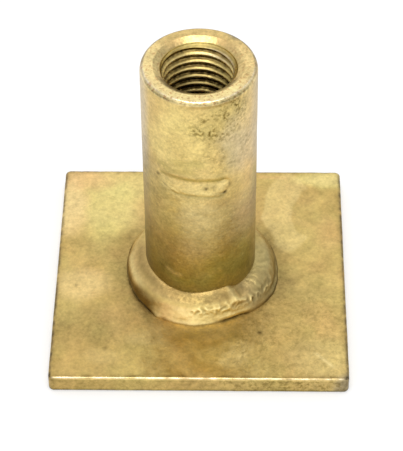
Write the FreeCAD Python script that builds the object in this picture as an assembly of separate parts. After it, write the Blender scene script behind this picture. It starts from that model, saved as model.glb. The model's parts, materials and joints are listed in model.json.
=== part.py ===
import FreeCAD
import Part
import math
import os

from FreeCAD import Vector

# Lifting socket insert, cast into concrete so that a lifting eye can be screwed into its mouth.
# It is a weldment of three pieces: a tapped steel tube, the square anchor plate that it stands on,
# and the fillet weld laid by hand round the foot of the tube.
# Units are millimetres. The origin is the middle of the plate's underside and +Z runs up the tube.

# Anchor plate, sheared from flat bar and tumbled, so its corners and edges are soft
PLATE_SIDE = 80.0
PLATE_THICKNESS = 5.0
PLATE_CORNER_RADIUS = 1.5
PLATE_TOP_EDGE_RADIUS = 0.8
PLATE_BOTTOM_EDGE_RADIUS = 0.6

# Socket tube, faced at the mouth and sawn at the foot
TUBE_DIAMETER = 30.0
TUBE_LENGTH = 75.0
TUBE_BORE = 16.0
RIM_EDGE_RADIUS = 0.8

# Coarse metric thread below a countersunk mouth that is wider than the thread.
# The wall stands at the tapping drill's size and the ridges are not cut.
THREAD_DIAMETER = 20.0
THREAD_PITCH = 2.5
TAPPING_DEPTH = 45.0
COUNTERSINK_OVERSIZE = 3.2
COUNTERSINK_ANGLE = 120.0
DRILL_POINT_ANGLE = 118.0

# Fillet weld: its mean legs, and how far its face swells past a flat fillet, as a share of the face
WELD_FOOT_LEG = 5.9
WELD_WALL_LEG = 7.0
WELD_SWELL = 0.17

# The bead wanders as it is laid, full on the left and flatter in front: its foot leg, wall leg and swell
# as shares of their means, at even steps round the tube
WELD_FIRST_ANGLE = 90.0
WELD_SECTION_SHARES = (
    (0.97, 1.00, 1.00),
    (1.01, 1.03, 1.03),
    (0.98, 1.06, 1.08),
    (0.94, 1.10, 1.13),
    (0.91, 1.13, 1.15),
    (0.90, 1.12, 1.12),
    (0.96, 1.04, 1.00),
    (1.04, 0.95, 0.83),
    (0.99, 1.01, 0.74),
    (0.90, 1.07, 0.76),
    (1.06, 0.95, 0.88),
    (1.13, 0.90, 1.00),
    (1.04, 0.90, 1.05),
    (1.07, 0.93, 1.05),
    (1.07, 0.95, 1.02),
    (0.99, 0.98, 1.00),
)

# Closed curves that carry the bead's crown, from its toe to its top. Past both they run on along the arc,
# and the hidden faces meet at a root buried under the foot of the tube, before the bead is trimmed.
WELD_RING_COUNT = 6
WELD_ARC_OVERRUN_ANGLE = 20.0
WELD_ROOT_OVERRUN = 2.5

# A rounded edge takes at most this share of the room that its piece has there
EDGE_ROUND_LIMIT = 0.9

# Two heights closer than this are the same height
SAME_HEIGHT = 1e-6

# Sizes that follow from those above
tube_radius = TUBE_DIAMETER / 2
tapping_radius = (THREAD_DIAMETER - THREAD_PITCH) / 2
plate_top = PLATE_THICKNESS
rim_height = plate_top + TUBE_LENGTH


def base_plate():
    """Square plate with rounded corners, its top and bottom edges softened by separate radii."""
    half = PLATE_SIDE / 2
    corner = PLATE_CORNER_RADIUS
    straight = half - corner
    edges = []
    for quarter in range(4):
        turn = math.radians(90 * quarter)

        def at(x, y):
            cosine, sine = math.cos(turn), math.sin(turn)
            return Vector(x * cosine - y * sine, x * sine + y * cosine, 0)

        bend = straight + corner * math.cos(math.radians(45))
        edges.append(Part.LineSegment(at(half, -straight), at(half, straight)).toShape())
        edges.append(Part.Arc(at(half, straight), at(bend, bend), at(straight, half)).toShape())
    outline = Part.Face(Part.Wire(edges))
    plate = outline.extrude(Vector(0, 0, PLATE_THICKNESS))
    plate = soften_rim(plate, plate_top, PLATE_TOP_EDGE_RADIUS)
    return soften_rim(plate, 0.0, PLATE_BOTTOM_EDGE_RADIUS)


def soften_rim(plate, height, radius):
    """Rounds the whole edge of a plate that lies at one height, within its wall and its corners."""
    largest = EDGE_ROUND_LIMIT * min(PLATE_THICKNESS / 2, PLATE_CORNER_RADIUS)
    rim = []
    for edge in plate.Edges:
        box = edge.BoundBox
        if abs(box.ZMin - height) < SAME_HEIGHT and box.ZLength < SAME_HEIGHT:
            rim.append(edge)
    return plate.makeFillet(min(radius, largest), rim)


def socket_tube():
    """Tube turned about its axis: soft rim, countersunk mouth, tapping bore, drill point and plain bore."""
    mouth_radius = (THREAD_DIAMETER + COUNTERSINK_OVERSIZE) / 2
    countersink_depth = (mouth_radius - tapping_radius) / math.tan(math.radians(COUNTERSINK_ANGLE / 2))
    shoulder = rim_height - TAPPING_DEPTH
    bore_radius = TUBE_BORE / 2
    point_depth = abs(tapping_radius - bore_radius) / math.tan(math.radians(DRILL_POINT_ANGLE / 2))
    rim_edge = min(RIM_EDGE_RADIUS, EDGE_ROUND_LIMIT * (tube_radius - mouth_radius))

    def at(radius, height):
        return Vector(radius, 0, height)

    outline = [
        at(bore_radius, plate_top),
        at(tube_radius, plate_top),
        at(tube_radius, rim_height - rim_edge),
        at(tube_radius - rim_edge, rim_height),
        at(mouth_radius, rim_height),
        at(tapping_radius, rim_height - countersink_depth),
        at(tapping_radius, shoulder),
        at(bore_radius, shoulder - point_depth),
    ]
    bend = rim_edge * (1 - math.cos(math.radians(45)))
    rim_arc = Part.Arc(outline[2], at(tube_radius - bend, rim_height - bend), outline[3]).toShape()
    edges = []
    for start, end in zip(outline, outline[1:] + outline[:1]):
        is_rim = start is outline[2]
        edges.append(rim_arc if is_rim else Part.LineSegment(start, end).toShape())
    profile = Part.Face(Part.Wire(edges))
    return profile.revolve(Vector(0, 0, 0), Vector(0, 0, 1), 360)


def weld_crown(foot_share, wall_share, swell_share):
    """Arc over the crown of one bead section, run on into the plate and the tube.

    Gives its centre, out from the tube's wall and up from the plate's top, its radius, and its first
    and last turn.
    """
    foot = WELD_FOOT_LEG * foot_share
    wall = WELD_WALL_LEG * wall_share
    face = math.hypot(foot, wall)
    swell = WELD_SWELL * swell_share * face
    radius = (face**2 / 4 + swell**2) / (2 * swell)
    sunk = radius - swell
    centre_out = foot / 2 - sunk * wall / face
    centre_up = wall / 2 - sunk * foot / face
    overrun = math.radians(WELD_ARC_OVERRUN_ANGLE)
    first = math.atan2(-centre_up, foot - centre_out) - overrun
    last = math.atan2(wall - centre_up, -centre_out) + overrun
    return centre_out, centre_up, radius, first, last


def weld_ring(share):
    """Closed curve round the tube, at one share of the way over the bead's crown."""
    points = []
    for step, section_shares in enumerate(WELD_SECTION_SHARES):
        centre_out, centre_up, radius, first, last = weld_crown(*section_shares)
        turn = first + (last - first) * share
        out = centre_out + radius * math.cos(turn)
        up = centre_up + radius * math.sin(turn)
        points.append(round_the_tube(step, out, up))
    return closed_curve(points)


def weld_root():
    """Closed curve under the foot of the tube, where the bead's two hidden faces meet."""
    steps = range(len(WELD_SECTION_SHARES))
    return closed_curve([round_the_tube(step, -WELD_ROOT_OVERRUN, -WELD_ROOT_OVERRUN) for step in steps])


def round_the_tube(step, out, up):
    """Point at one of the bead's steps round the tube, out from its wall and up from the plate."""
    turn = math.radians(WELD_FIRST_ANGLE + 360 * step / len(WELD_SECTION_SHARES))
    reach = tube_radius + out
    return Vector(reach * math.cos(turn), reach * math.sin(turn), plate_top + up)


def closed_curve(points):
    """Smooth closed curve through points that stand at even steps round the tube."""
    curve = Part.BSplineCurve()
    curve.interpolate(Points=points, PeriodicFlag=True, Parameters=list(range(len(points) + 1)))
    return Part.Wire([curve.toShape()])


def weld_bead():
    """Roll of weld metal lofted over its crown and closed at its root, then trimmed by tube and plate."""
    rings = [weld_ring(step / (WELD_RING_COUNT - 1)) for step in range(WELD_RING_COUNT)]
    root = weld_root()
    crown = Part.makeLoft(rings, False, False, False, WELD_RING_COUNT - 1)
    under_foot = Part.makeLoft([root, rings[0]], False, True)
    into_tube = Part.makeLoft([rings[-1], root], False, True)
    skin = Part.makeShell(crown.Faces + under_foot.Faces + into_tube.Faces)
    skin.sewShape()
    roll = Part.makeSolid(skin)
    if roll.Volume < 0:
        roll.reverse()
    below = plate_top - 2 * WELD_WALL_LEG
    tube_core = Part.makeCylinder(tube_radius, rim_height - below, Vector(0, 0, below))
    ground_side = 4 * (tube_radius + 2 * WELD_FOOT_LEG)
    ground_corner = Vector(-ground_side / 2, -ground_side / 2, below)
    ground = Part.makeBox(ground_side, ground_side, plate_top - below, ground_corner)
    return roll.cut(tube_core).cut(ground)


def main():
    os.makedirs("parts", exist_ok=True)
    pieces = {
        "base_plate": base_plate(),
        "socket_tube": socket_tube(),
        "weld_bead": weld_bead(),
    }
    for name, shape in pieces.items():
        solids = shape.Solids
        print(name, "solids", len(solids), "valid", shape.isValid(), "volume", round(shape.Volume, 1))
        solids[0].exportStep(f"parts/{name}.step")


main()
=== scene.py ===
# %% [markdown]
# # Lifting socket insert
# This insert is cast into a concrete slab so that a lifting eye can be screwed into its mouth. It is a
# weldment: a tapped steel tube stands on a square anchor plate, and a fillet weld laid by hand runs round
# its foot. The whole was plated with zinc and passivated yellow, which leaves it a mottled gold.
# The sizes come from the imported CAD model. It is loaded first and never changed. Each of its three solids
# then gets a finer skin that shows what hand work and plating leave: waves, ripples, nicks and pits.

import json
import math

import bmesh
import bpy
import numpy as np
from mathutils import Matrix, Vector, noise
from mathutils.bvhtree import BVHTree


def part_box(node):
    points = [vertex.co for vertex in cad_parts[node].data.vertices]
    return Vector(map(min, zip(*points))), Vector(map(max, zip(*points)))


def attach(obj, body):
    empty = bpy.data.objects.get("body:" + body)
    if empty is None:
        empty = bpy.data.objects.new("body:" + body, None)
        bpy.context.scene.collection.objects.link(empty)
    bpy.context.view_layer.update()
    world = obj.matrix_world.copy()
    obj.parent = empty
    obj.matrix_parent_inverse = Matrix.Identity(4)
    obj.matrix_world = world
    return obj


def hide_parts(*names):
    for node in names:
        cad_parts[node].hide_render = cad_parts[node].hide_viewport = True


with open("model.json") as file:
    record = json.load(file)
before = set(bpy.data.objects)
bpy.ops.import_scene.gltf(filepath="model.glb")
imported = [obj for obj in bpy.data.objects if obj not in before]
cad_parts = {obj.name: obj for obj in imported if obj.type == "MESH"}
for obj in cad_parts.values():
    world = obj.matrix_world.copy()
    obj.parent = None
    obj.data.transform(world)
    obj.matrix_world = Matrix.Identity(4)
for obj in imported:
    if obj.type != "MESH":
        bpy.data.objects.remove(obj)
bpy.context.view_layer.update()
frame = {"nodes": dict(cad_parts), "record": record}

MM = 0.001
plate_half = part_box("base_plate")[1].x
plate_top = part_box("base_plate")[1].z
tube_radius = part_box("socket_tube")[1].x
rim_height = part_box("socket_tube")[1].z
mounts = {mount["name"]: mount for mount in frame["record"]["mounts"]}
tapped_radius = mounts["socket_thread"]["dims"]["r_mm"] * MM
tapped_length = mounts["socket_thread"]["dims"]["length_mm"] * MM
tapped_middle = mounts["socket_thread"]["pos_m"][2]
print("plate", 2 * plate_half / MM, "mm square, tube", 2 * tube_radius / MM, "mm wide")
print("height", rim_height / MM, "mm")

# %% [markdown]
# ## Camera
# The picture was taken from half a metre away, looking down at 45 degrees with a long lens. Its four plate
# corners, the rim and the tube's sides fix where the camera stood: that was solved by least squares, and
# the result is written here as a turn round the object, a height angle, a slight roll and a distance.
# A matrix built from the three view directions places the camera exactly, with no constraint to evaluate.

# %% Place the camera
CAMERA_LENS = 162.5
CAMERA_SENSOR = 36.0
CAMERA_TURN = math.radians(1.233)
CAMERA_RISE = math.radians(45.156)
CAMERA_ROLL = math.radians(-0.53)
CAMERA_DISTANCE = 569.34 * MM
CAMERA_RIGHT = 0.187 * MM
CAMERA_UP = 15.86 * MM

back = Vector(
    (
        math.sin(CAMERA_TURN) * math.cos(CAMERA_RISE),
        -math.cos(CAMERA_TURN) * math.cos(CAMERA_RISE),
        math.sin(CAMERA_RISE),
    )
)
level_right = Vector((math.cos(CAMERA_TURN), math.sin(CAMERA_TURN), 0.0))
level_up = back.cross(level_right)
right = level_right * math.cos(CAMERA_ROLL) + level_up * math.sin(CAMERA_ROLL)
up = level_up * math.cos(CAMERA_ROLL) - level_right * math.sin(CAMERA_ROLL)
eye = right * CAMERA_RIGHT + up * CAMERA_UP + back * CAMERA_DISTANCE

lens = bpy.data.cameras.new("studio_camera")
lens.lens = CAMERA_LENS
lens.sensor_width = CAMERA_SENSOR
camera = bpy.data.objects.new("studio_camera", lens)
bpy.context.scene.collection.objects.link(camera)
camera.matrix_world = Matrix.Translation(eye) @ Matrix((right, up, back)).transposed().to_4x4()
bpy.context.scene.camera = camera
print("camera", round(eye.length / MM), "mm from the plate's middle")

# %% [markdown]
# ## Node helper
# Floor, light and finishes are all small node trees. One helper adds a node, sets its options and fills
# its inputs, either with a plain value or with a link from another node's output. Colours are written as
# they look on screen, from 0 to 255, and turned into the linear numbers that the shaders use.


# %% Add nodes and colours
def add_node(tree, kind, inputs=None, **options):
    """New shader node, with its options set and its inputs filled or linked."""
    node = tree.nodes.new("ShaderNode" + kind)
    for option, value in options.items():
        setattr(node, option, value)
    for key, value in (inputs or {}).items():
        if isinstance(value, bpy.types.NodeSocket):
            tree.links.new(value, node.inputs[key])
        else:
            node.inputs[key].default_value = value
    return node


def screen_colour(red, green, blue):
    """Linear colour of a screen colour given from 0 to 255."""
    linear = []
    for part in (red / 255, green / 255, blue / 255):
        linear.append(part / 12.92 if part <= 0.04045 else ((part + 0.055) / 1.055) ** 2.4)
    return (*linear, 1.0)


print("mid gold as linear numbers", [round(part, 3) for part in screen_colour(205, 172, 103)])

# %% [markdown]
# ## Floor and light
# The insert stands on a white table in a light tent. Satin gold shows what surrounds it, so the tent matters
# more than any lamp: its lower walls are bright, most of all in front and least at the sides, they fall off
# half way up, and the top is bright again. A soft box hangs overhead, a little in front, for the highlights
# on rounded edges. The floor is white paper that takes the object's shadow. The eye, and the metal, see it
# topped up to white, as an overexposed table looks.

# %% Set the paper floor
FLOOR_HALF = 1.5
FLOOR_WHITE = 0.62
FLOOR_TOP_UP = 0.38


def seen_directly(tree):
    """Share that is 1 for rays from the eye, from mirrors and through glass."""
    path = add_node(tree, "LightPath")
    inputs = {0: path.outputs["Is Camera Ray"], 1: path.outputs["Is Glossy Ray"]}
    some = add_node(tree, "Math", inputs, operation="MAXIMUM")
    inputs = {0: some.outputs[0], 1: path.outputs["Is Transmission Ray"]}
    return add_node(tree, "Math", inputs, operation="MAXIMUM").outputs[0]


paper = bpy.data.materials.new("white_paper")
paper.use_nodes = True
sheet = paper.node_tree
sheet.nodes.clear()
glow = add_node(sheet, "Math", {0: seen_directly(sheet), 1: FLOOR_TOP_UP}, operation="MULTIPLY")
light = add_node(sheet, "Emission", {"Strength": glow.outputs[0]})
matt = add_node(sheet, "BsdfDiffuse", {"Color": (FLOOR_WHITE, FLOOR_WHITE, FLOOR_WHITE, 1.0)})
both = add_node(sheet, "AddShader", {0: matt.outputs[0], 1: light.outputs[0]})
add_node(sheet, "OutputMaterial", {"Surface": both.outputs[0]})

floor_corners = [(x * FLOOR_HALF, y * FLOOR_HALF, 0.0) for x, y in ((-1, -1), (1, -1), (1, 1), (-1, 1))]
floor_mesh = bpy.data.meshes.new("white_table")
floor_mesh.from_pydata(floor_corners, [], [(0, 1, 2, 3)])
floor_mesh.materials.append(paper)
floor = bpy.data.objects.new("white_table", floor_mesh)
bpy.context.scene.collection.objects.link(floor)
print("floor", 2 * FLOOR_HALF, "m wide")

# %% Sew the tent
TENT_WALL = 1.35
TENT_DIP = -0.38
TENT_DIP_SPAN = (0.60, 0.80)
TENT_TOP = 0.5
TENT_TOP_SPAN = (0.86, 1.0)
TENT_FRONT = 0.45
TENT_FRONT_SPAN = (-0.3, -0.9)
TENT_SIDES = -0.5
TENT_SIDES_SPAN = (0.4, 0.8)

tent = bpy.data.worlds.new("light_tent")
bpy.context.scene.world = tent
tent.use_nodes = True
cloth = tent.node_tree
cloth.nodes.clear()
direction = add_node(cloth, "TexCoord").outputs["Generated"]
facing = add_node(cloth, "SeparateXYZ", {"Vector": direction}).outputs
sideways = add_node(cloth, "Math", {0: facing["X"]}, operation="ABSOLUTE").outputs[0]


def tent_part(share, span, before, after):
    """Level of the tent's cloth that changes smoothly as a share of the direction runs through a span."""
    inputs = {"Value": share, "From Min": span[0], "From Max": span[1], "To Min": before, "To Max": after}
    return add_node(cloth, "MapRange", inputs, interpolation_type="SMOOTHSTEP").outputs[0]


tent_level = tent_part(facing["Z"], TENT_DIP_SPAN, TENT_WALL, TENT_WALL + TENT_DIP)
for share, span, level in (
    (facing["Z"], TENT_TOP_SPAN, TENT_TOP),
    (facing["Y"], TENT_FRONT_SPAN, TENT_FRONT),
    (sideways, TENT_SIDES_SPAN, TENT_SIDES),
):
    inputs = {0: tent_level, 1: tent_part(share, span, 0.0, level)}
    tent_level = add_node(cloth, "Math", inputs, operation="ADD").outputs[0]
from_eye = add_node(cloth, "LightPath").outputs["Is Camera Ray"]
tent_seen = add_node(cloth, "Mix", {0: from_eye, 2: tent_level, 3: 1.0}, data_type="FLOAT")
tent_light = add_node(cloth, "Background", {"Strength": tent_seen.outputs[0]})
add_node(cloth, "OutputWorld", {"Surface": tent_light.outputs[0]})
print("tent walls", TENT_WALL, "falling by", -TENT_DIP, "and rising by", TENT_TOP, "overhead")

# %% Hang the soft box
SOFT_BOX_WIDTH = 0.42
SOFT_BOX_DEPTH = 0.34
SOFT_BOX_PLACE = (0.0, -0.14, 0.9)
SOFT_BOX_POWER = 2.2

soft_box = bpy.data.lights.new("soft_box", "AREA")
soft_box.shape = "RECTANGLE"
soft_box.size = SOFT_BOX_WIDTH
soft_box.size_y = SOFT_BOX_DEPTH
soft_box.energy = SOFT_BOX_POWER
soft_box_stand = bpy.data.objects.new("soft_box", soft_box)
bpy.context.scene.collection.objects.link(soft_box_stand)
soft_box_stand.location = SOFT_BOX_PLACE
bpy.context.scene.view_settings.view_transform = "Standard"
print("soft box of", SOFT_BOX_POWER, "W hangs at", SOFT_BOX_PLACE[2], "m")

# %% [markdown]
# ## Skins made of rings
# Plate, tube and weld are all closed loops swept along a path: squares for the plate, circles for the tube,
# and for the weld one loop round its section at every step round the tube. A skin is therefore a grid of
# points, ring by ring, with a quad between neighbours. Modifiers could displace a coarse mesh, but with the
# grid in hand each nick and ripple can be put where it is on the real insert.


# %% Shape helpers
def smooth_step(low, high, value):
    """Share that climbs from 0 at low to 1 at high without a corner."""
    share = np.clip((np.asarray(value) - low) / (high - low), 0.0, 1.0)
    return share * share * (3.0 - 2.0 * share)


def plateau(start, full, full_end, end, value):
    """Share that is 0 up to start, 1 between the two full values and 0 again from end on."""
    return smooth_step(start, full, value) * smooth_step(end, full_end, value)


def hump(middle, reach, value):
    """Share that is 1 at middle and dies away about one reach to either side."""
    return np.exp(-(((np.asarray(value) - middle) / reach) ** 2))


def round_points(radius, turns, height):
    """Points at a radius and a height for each turn round the tube's axis."""
    return np.stack([radius * np.cos(turns), radius * np.sin(turns), height + 0.0 * turns], axis=-1)


def lumps(points, size, seed):
    """Smooth noise of one seed, from about -1 to 1 at each point, in lumps about as wide as size."""
    flat = np.asarray(points).reshape(-1, 3) / size + np.array([seed, -2.0 * seed, 0.5 * seed])
    values = np.array([noise.noise(Vector(point)) for point in flat])
    return values.reshape(np.shape(points)[:-1])


print("half way up a smooth step lies", float(smooth_step(0.0, 2.0, 1.0)))

# %% Skin helpers
MERGE_DISTANCE = 0.002 * MM


def ring_quads(ring_count, ring_size, closed):
    """Quads between neighbouring rings of equally many points, numbered ring by ring."""
    quads = []
    for ring in range(ring_count if closed else ring_count - 1):
        low = ring * ring_size
        high = (ring + 1) % ring_count * ring_size
        for step in range(ring_size):
            after = (step + 1) % ring_size
            quads.append((low + step, low + after, high + after, high + step))
    return quads


def make_piece(name, points, faces):
    """Smooth piece from points and faces: doubled points merged, normals outward."""
    mesh = bpy.data.meshes.new(name)
    mesh.from_pydata(np.asarray(points).reshape(-1, 3).tolist(), [], faces)
    work = bmesh.new()
    work.from_mesh(mesh)
    bmesh.ops.remove_doubles(work, verts=work.verts, dist=MERGE_DISTANCE)
    bmesh.ops.dissolve_degenerate(work, edges=work.edges, dist=MERGE_DISTANCE)
    bmesh.ops.recalc_face_normals(work, faces=work.faces)
    open_edges = sum(not edge.is_manifold for edge in work.edges)
    volume = work.calc_volume(signed=True) / MM**3
    triangles = sum(len(face.verts) - 2 for face in work.faces)
    work.to_mesh(mesh)
    work.free()
    mesh.shade_smooth()
    piece = bpy.data.objects.new(name, mesh)
    bpy.context.scene.collection.objects.link(piece)
    print(name, triangles, "triangles,", open_edges, "open edges,", round(volume), "cubic mm")
    return piece


print("points closer than", MERGE_DISTANCE / MM, "mm are merged")

# %% [markdown]
# ## Anchor plate
# The plate is sheared from flat bar, so its faces are never quite flat and its edges wander: the shear rolls
# the upper edge over, tears the lower one and leaves small dents. A bevelled cube would show one even edge.
# Here the rings run from the middle of the top, out over the rolled edge, down the side and back under, and
# noise moves them by a tenth of a millimetre, always inward so that the plate keeps its 80 mm.

# %% Rings of the plate
PLATE_CORNER = 1.5 * MM
TOP_ROLL = 0.8 * MM
BOTTOM_ROLL = 0.6 * MM
SIDE_STEPS = 136
CORNER_STEPS = 8
TOP_RINGS = 100
ROLL_RINGS = 10
EDGE_RINGS = 7
BOTTOM_RINGS = 14


def square_ring(inset):
    """Points round the plate's outline, inset from it: four straight sides and four round corners."""
    corner = PLATE_CORNER - inset
    straight = plate_half - PLATE_CORNER
    along_side = np.linspace(-straight, straight, SIDE_STEPS, endpoint=False)
    bend = np.linspace(0.0, math.pi / 2, CORNER_STEPS, endpoint=False)
    side = np.column_stack([np.full(SIDE_STEPS, straight + corner), along_side])
    round_corner = straight + corner * np.column_stack([np.cos(bend), np.sin(bend)])
    ring = np.vstack([side, round_corner])
    quarters = []
    for _ in range(4):
        quarters.append(ring)
        ring = np.column_stack([-ring[:, 1], ring[:, 0]])
    return np.vstack(quarters)


def lay_ring(ring, height):
    """Flat ring lifted to one height."""
    return np.column_stack([ring, np.full(len(ring), height)])


roll_turns = np.linspace(0.0, math.pi / 2, ROLL_RINGS)
plate_rings = []
for share in np.linspace(0.0, 1.0, TOP_RINGS + 1)[1:-1]:
    plate_rings.append(lay_ring(square_ring(TOP_ROLL) * share, plate_top))
for turn in roll_turns:
    inset = TOP_ROLL * (1 - math.sin(turn))
    plate_rings.append(lay_ring(square_ring(inset), plate_top - TOP_ROLL * (1 - math.cos(turn))))
for share in np.linspace(0.0, 1.0, EDGE_RINGS + 1)[1:-1]:
    height = plate_top - TOP_ROLL - share * (plate_top - TOP_ROLL - BOTTOM_ROLL)
    plate_rings.append(lay_ring(square_ring(0.0), height))
for turn in roll_turns[::-1]:
    inset = BOTTOM_ROLL * (1 - math.sin(turn))
    plate_rings.append(lay_ring(square_ring(inset), BOTTOM_ROLL * (1 - math.cos(turn))))
for share in np.linspace(1.0, 0.0, BOTTOM_RINGS + 1)[1:-1]:
    plate_rings.append(lay_ring(square_ring(BOTTOM_ROLL) * share, 0.0))
plate_points = np.array(plate_rings)
print("plate rings", plate_points.shape)

# %% Wear the plate
EDGE_WANDER = 0.16 * MM
EDGE_DENT = 0.14 * MM
EDGE_WEAR_START = 1.6 * MM
EDGE_WEAR_FULL = 0.3 * MM
FACE_WAVE = 0.035 * MM

reach_out = np.abs(plate_points[..., :2]).max(axis=-1)
near_edge = smooth_step(plate_half - EDGE_WEAR_START, plate_half - EDGE_WEAR_FULL, reach_out)
near_top = smooth_step(0.5 * plate_top, plate_top, plate_points[..., 2])
wander = 0.6 * lumps(plate_points, 7 * MM, 1.0) + 0.4 * lumps(plate_points, 2.2 * MM, 2.0)
dent = np.maximum(0.0, lumps(plate_points, 3.1 * MM, 3.0))
dent = dent + 0.5 * np.maximum(0.0, lumps(plate_points, 1.3 * MM, 4.0))
wave = 0.5 + 0.5 * lumps(plate_points, 13 * MM, 5.0)
inward = 1.0 - EDGE_WANDER * near_edge * np.clip(0.5 + 0.5 * wander, 0.0, 1.0) / plate_half
worn_plate = plate_points.copy()
worn_plate[..., :2] *= inward[..., None]
worn_plate[..., 2] -= near_top * (EDGE_DENT * near_edge * dent + FACE_WAVE * wave)
print("plate's edge worn in by up to", round((1.0 - inward.min()) * plate_half / MM, 2), "mm")

# %% Skin the plate
ring_size = plate_points.shape[1]
top_middle = plate_points.shape[0] * ring_size
last_ring = top_middle - ring_size
plate_faces = ring_quads(plate_points.shape[0], ring_size, closed=False)
for step in range(ring_size):
    after = (step + 1) % ring_size
    plate_faces.append((top_middle, after, step))
    plate_faces.append((top_middle + 1, last_ring + step, last_ring + after))
plate_ends = np.array([(0.0, 0.0, worn_plate[0, :, 2].mean()), (0.0, 0.0, 0.0)])
plate = make_piece("sheared_plate", np.vstack([worn_plate.reshape(-1, 3), plate_ends]), plate_faces)

# %% [markdown]
# ## Outside of the tube
# The tube is drawn steel, cut to length and faced in a lathe, which rolled the rim's outer edge over. A clamp
# left a shallow band of scars half way up its front: an upper edge that runs into a round end on the right,
# and a soft lower edge. The wall is a stack of circles, closer together where the scars are, and each point's
# radius is the tube's own plus what happened to it there.

# %% Rings of the tube's outside
COLUMNS = 192
BORE_RADIUS = 8.0 * MM
ROWS_TO_SCAR = (plate_top, 45 * MM, 0.6 * MM)
ROWS_IN_SCAR = (45 * MM, 56 * MM, 0.2 * MM)
ROW_ABOVE_SCAR = 0.5 * MM
ROLL_CLEAR = 0.2 * MM
RIM_ROLL_ACROSS = 1.1 * MM
RIM_ROLL_DOWN = 1.6 * MM
RIM_RINGS = 13
MOUTH_START = 11.7 * MM
MOUTH_LIP = 0.15 * MM
MOUTH_END = 9.85 * MM
MOUTH_DROP = 1.05 * MM
MOUTH_BEND = 1.08
MOUTH_RINGS = 10

column_turns = np.arange(COLUMNS) * 2 * math.pi / COLUMNS
thread_top = rim_height - MOUTH_DROP
wall_top = rim_height - RIM_ROLL_DOWN - ROLL_CLEAR
wall_heights = [np.arange(*ROWS_TO_SCAR), np.arange(*ROWS_IN_SCAR)]
wall_heights.append(np.arange(ROWS_IN_SCAR[1], wall_top, ROW_ABOVE_SCAR))
tube_path = [(BORE_RADIUS, plate_top)] + [(tube_radius, height) for height in np.concatenate(wall_heights)]
for turn in np.linspace(0.0, math.pi / 2, RIM_RINGS):
    across = RIM_ROLL_ACROSS * (1 - math.cos(turn))
    down = RIM_ROLL_DOWN * (1 - math.sin(turn))
    tube_path.append((tube_radius - across, rim_height - down))
tube_path.append(((tube_radius - RIM_ROLL_ACROSS + MOUTH_START) / 2, rim_height))
tube_path.append((MOUTH_START + MOUTH_LIP, rim_height))
for share in np.linspace(0.0, 1.0, MOUTH_RINGS + 1)[:-1]:
    radius = MOUTH_START + share * (MOUTH_END - MOUTH_START)
    tube_path.append((radius, rim_height - MOUTH_DROP * share**MOUTH_BEND))
tube_path = np.array(tube_path)
print("tube outside", len(tube_path), "rings, thread starts at", round(thread_top / MM, 2))

# %% Where the clamp bit
# Heights and widths in millimetres, angles in degrees round the tube
SCAR_TOP = 53.4
SCAR_FOOT = 48.0
SCAR_FIRST = 224.0
SCAR_LAST = 300.0
HOOK_DEGREES = 293.5
HOOK_HEIGHT = 50.4
HOOK_RADIUS = 2.3
ARC_FIRST = 230.0
ARC_HEIGHTS = (51.6, 50.2)
ARC_FALL = 0.13
LINE_WIDTH = 0.4


def scar_edges(points):
    """Upper and lower edge of the scarred band at each point, in millimetres up the tube."""
    waver = lumps(points * [1, 1, 0], 7 * MM, 7.0)
    degrees = np.degrees(np.arctan2(points[..., 1], points[..., 0])) % 360
    upper = SCAR_TOP + 0.25 * waver - 0.5 * hump(289.0, 12.0, degrees)
    lower = SCAR_FOOT + 0.3 * waver - 0.8 * hump(290.0, 14.0, degrees)
    return upper, lower


def round_end(degrees, height):
    """Two shares for the ring at the band's right end: near its line, and round to its pressed right half."""
    sideways = np.radians(degrees - HOOK_DEGREES) * tube_radius / MM
    ring = hump(HOOK_RADIUS, LINE_WIDTH, np.hypot(sideways, height - HOOK_HEIGHT))
    return ring, smooth_step(289.0, 297.0, degrees)


def faint_arcs(degrees, height):
    """Share that is 1 along the two faint arcs that run down to the right from the band's left end."""
    fall = ARC_FALL * (degrees - ARC_FIRST)
    return sum(hump(start - fall, LINE_WIDTH, height) for start in ARC_HEIGHTS)


print("scars from", SCAR_FOOT, "to", SCAR_TOP, "mm up the tube")

# %% Scar and wave the outside
SCAR_DEPTH = 0.13
SCAR_LIP = 0.1
ARC_DEPTH = 0.1
HOOK_DEPTH = 0.2
WALL_FADE = 0.6 * MM
RIM_WEAR = 0.03 * MM

column_degrees = np.degrees(column_turns)
ring_direction = round_points(1.0, column_turns, 0.0)
path_radius, path_height = tube_path[:, :1], tube_path[:, 1:]
tube_points = round_points(path_radius, column_turns, path_height)
on_wall = smooth_step(tube_radius - WALL_FADE, tube_radius, path_radius)
ring_heights = tube_points[..., 2] / MM
upper, lower = scar_edges(tube_points)
band = smooth_step(upper + 1.3, upper - 0.9, ring_heights) * smooth_step(lower - 0.6, upper, ring_heights)
band = band * plateau(SCAR_FIRST, SCAR_FIRST + 8.0, SCAR_LAST - 6.0, SCAR_LAST + 2.0, column_degrees)
scar_lip = hump(upper + 1.2, 0.7, ring_heights) - 0.9 * hump(lower, 0.5, ring_heights)
scar_lip = scar_lip * plateau(228.0, 245.0, 292.0, 304.0, column_degrees)
arcs = faint_arcs(column_degrees, ring_heights) * plateau(226.0, 232.0, 246.0, 262.0, column_degrees)
hook_ring, hook_pressed = round_end(column_degrees, ring_heights)
relief = SCAR_LIP * scar_lip - SCAR_DEPTH * band - ARC_DEPTH * arcs - HOOK_DEPTH * hook_ring * hook_pressed
relief = relief + 0.06 * lumps(tube_points, 9 * MM, 8.0) + 0.025 * lumps(tube_points, 2.5 * MM, 9.0)
wall_relief = on_wall * relief
tube_points = tube_points + (wall_relief * MM)[..., None] * ring_direction
on_rim = smooth_step(79.5, 80.0, ring_heights)
tube_points[..., 2] -= on_rim * RIM_WEAR * (1.0 + lumps(tube_points, 3 * MM, 10.0))
print("outside relief from", round(wall_relief.min(), 2), "to", round(wall_relief.max(), 2), "mm")

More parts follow.
